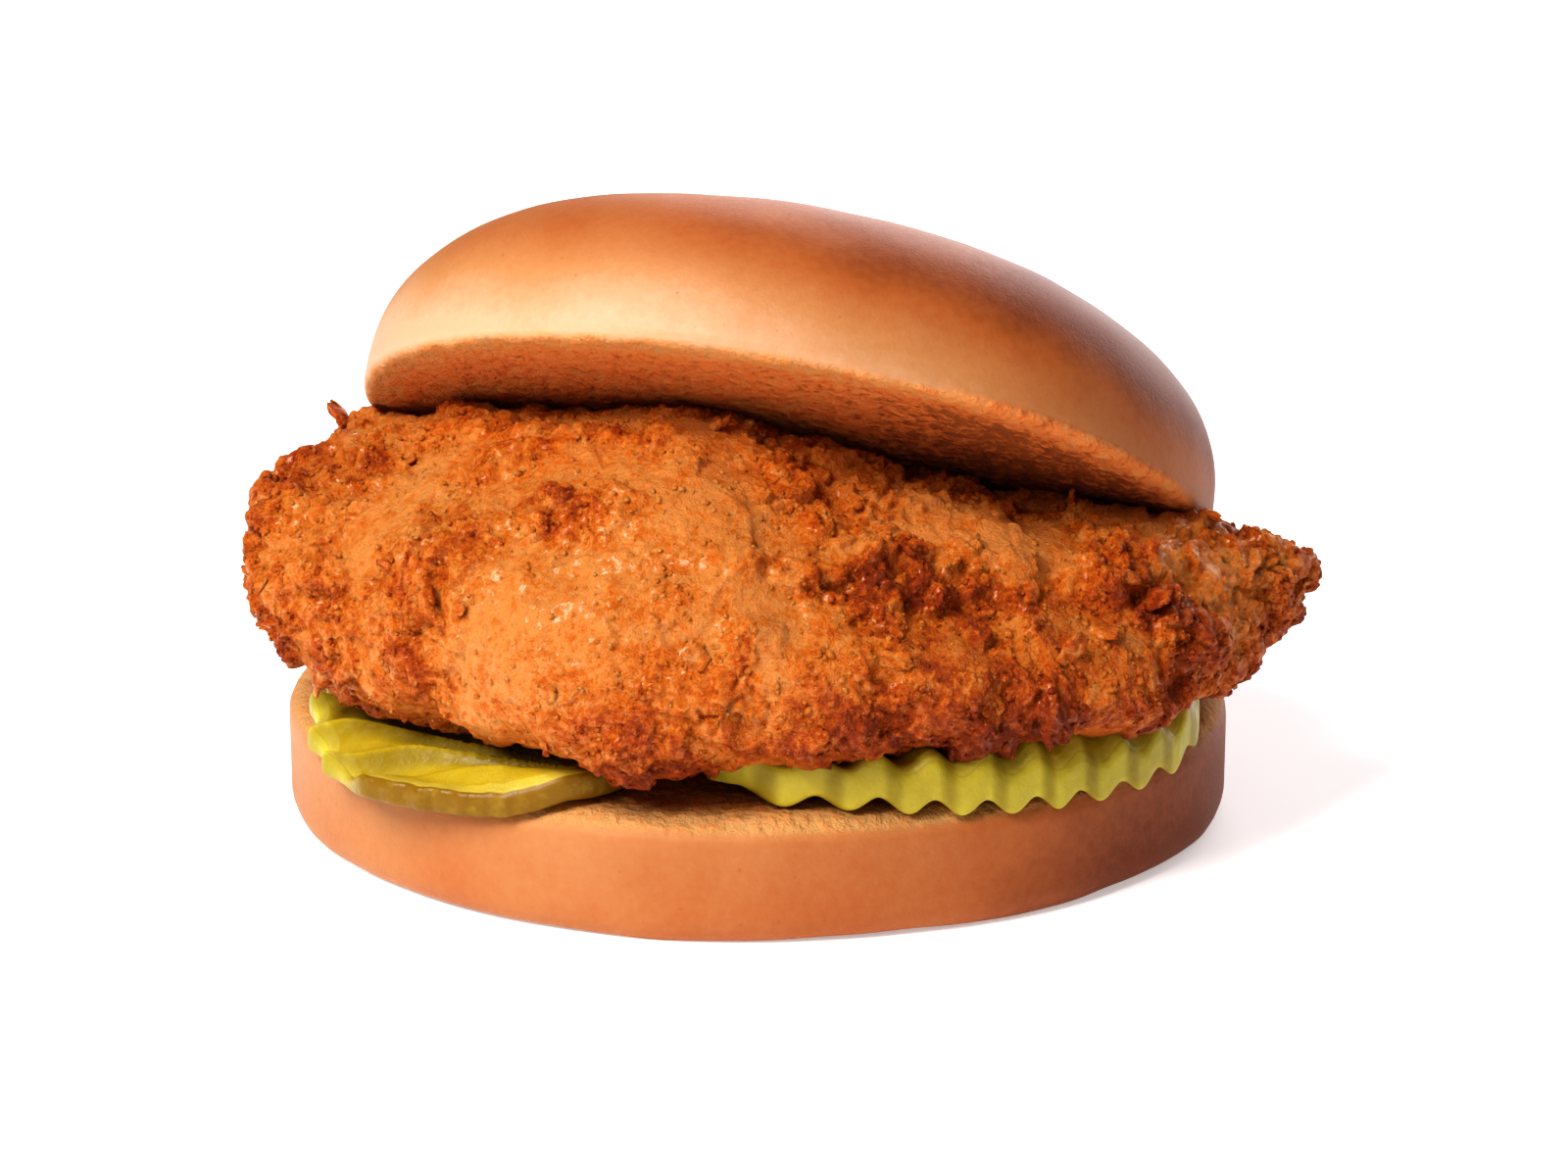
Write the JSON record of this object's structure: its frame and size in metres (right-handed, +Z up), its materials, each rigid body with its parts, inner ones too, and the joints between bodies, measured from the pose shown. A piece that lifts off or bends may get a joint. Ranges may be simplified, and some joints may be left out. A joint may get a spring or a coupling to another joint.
{
  "type": "chicken burger",
  "caption": "Fried chicken burger: thick craggy breaded fillet and crinkle-cut pickle slices in a round soft bun, its upper half tilted back to show the filling.",
  "frame": {"origin": "centre of the flat base of the bun's lower half, on the surface that the burger stands on", "axes": "+Z up; the open mouth of the bun faces -Y; +X to the right as the mouth is looked into, towards the fillet's tapered end"},
  "size_m": [0.1166, 0.1068, 0.0729],
  "materials": {
    "bun_crust": "soft baked bread, velvety orange-brown crust fading to pale tan at the cut edge",
    "fried_breading": "craggy golden to red-brown fried breading with oily glints",
    "pickle_flesh": "wet translucent yellow-green pickle with an olive skin"
  },
  "bodies": {
    "root": {"heel": "bun_crust", "crown": "bun_crust", "chicken_fillet": "fried_breading", "pickle_left": "pickle_flesh", "pickle_right": "pickle_flesh"}
  },
  "joints": []
}
